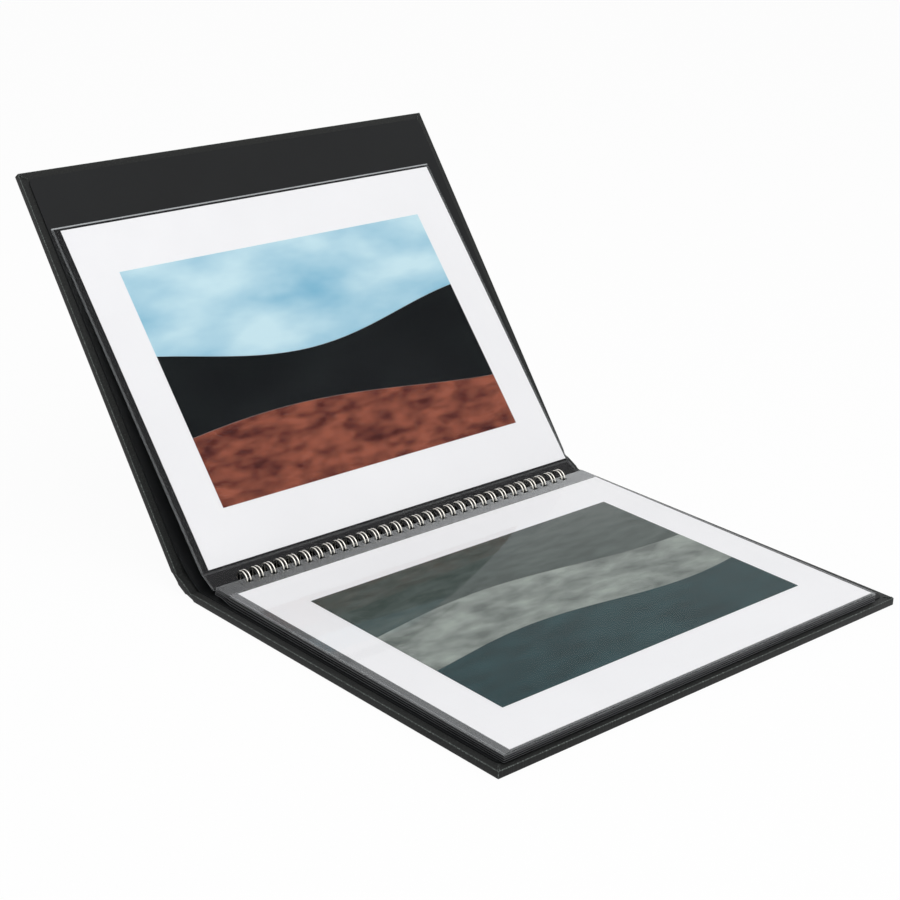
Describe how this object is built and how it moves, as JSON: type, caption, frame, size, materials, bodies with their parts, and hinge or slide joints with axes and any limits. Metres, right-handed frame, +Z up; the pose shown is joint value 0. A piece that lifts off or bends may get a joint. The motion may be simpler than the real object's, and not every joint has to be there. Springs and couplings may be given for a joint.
{
  "type": "display book",
  "caption": "Landscape display book in a cloth-covered hard case, standing open, with wire-bound clear pockets that hold white sheets on black inserts.",
  "frame": {"origin": "on the underside of the back cover, under the middle of the open book's box", "axes": "+X along the gutter to the reader's right, -Y towards the reader, +Z up"},
  "size_m": [0.306, 0.4184, 0.209],
  "materials": {
    "cover_cloth": "black woven book cloth",
    "greyboard": "grey pressed board",
    "lining": "matt black card",
    "clear_film": "clear glossy film",
    "black_insert": "matt black paper",
    "white_sheet": "smooth white card",
    "print_sky": "printed sky blue",
    "print_hills": "printed near black",
    "print_field": "printed warm brown",
    "print_far_water": "printed dark teal",
    "print_sand": "printed grey green",
    "print_near_water": "printed teal",
    "pages": "clear pockets with black inserts, seen as one block",
    "wire": "bright nickel wire"
  },
  "bodies": {
    "back_cover": {"back_board": "greyboard", "back_cover_cloth": "cover_cloth", "back_lining": "lining", "twin_loop_wire": "wire", "page_stack": "pages", "lower_pocket": "clear_film", "lower_insert": "black_insert", "lower_sheet": "white_sheet", "lower_print_far_water": "print_far_water", "lower_print_sand": "print_sand", "lower_print_near_water": "print_near_water"},
    "spine": {"spine_board": "greyboard", "spine_cloth": "cover_cloth", "gutter_lining": "lining"},
    "front_cover": {"front_board": "greyboard", "front_cover_cloth": "cover_cloth", "front_lining": "lining"},
    "leaf": {"standing_pocket": "clear_film", "standing_insert": "black_insert", "standing_sheet": "white_sheet", "standing_print_sky": "print_sky", "standing_print_hills": "print_hills", "standing_print_field": "print_field"}
  },
  "joints": [
    {"name": "spine_hinge", "type": "hinge", "parent": "back_cover", "child": "spine", "pos_m": [0, 0.04079, 0.0044], "axis": [1, 0, 0], "range_deg": [0, 63.75], "deforming": ["gutter_lining"]},
    {"name": "cover_hinge", "type": "hinge", "parent": "spine", "child": "front_cover", "pos_m": [0, 0.05353, 0.01068], "axis": [1, 0, 0], "range_deg": [0, 63.75]},
    {"name": "leaf_turn", "type": "hinge", "parent": "back_cover", "child": "leaf", "pos_m": [0, 0.02629, 0.0108], "axis": [1, 0, 0], "range_deg": [0, 130.93]}
  ],
  "couplings": [
    {"joint": "spine_hinge", "follows": "cover_hinge", "ratio": 1},
    {"joint": "leaf_turn", "follows": "cover_hinge", "ratio": 2.0537}
  ]
}
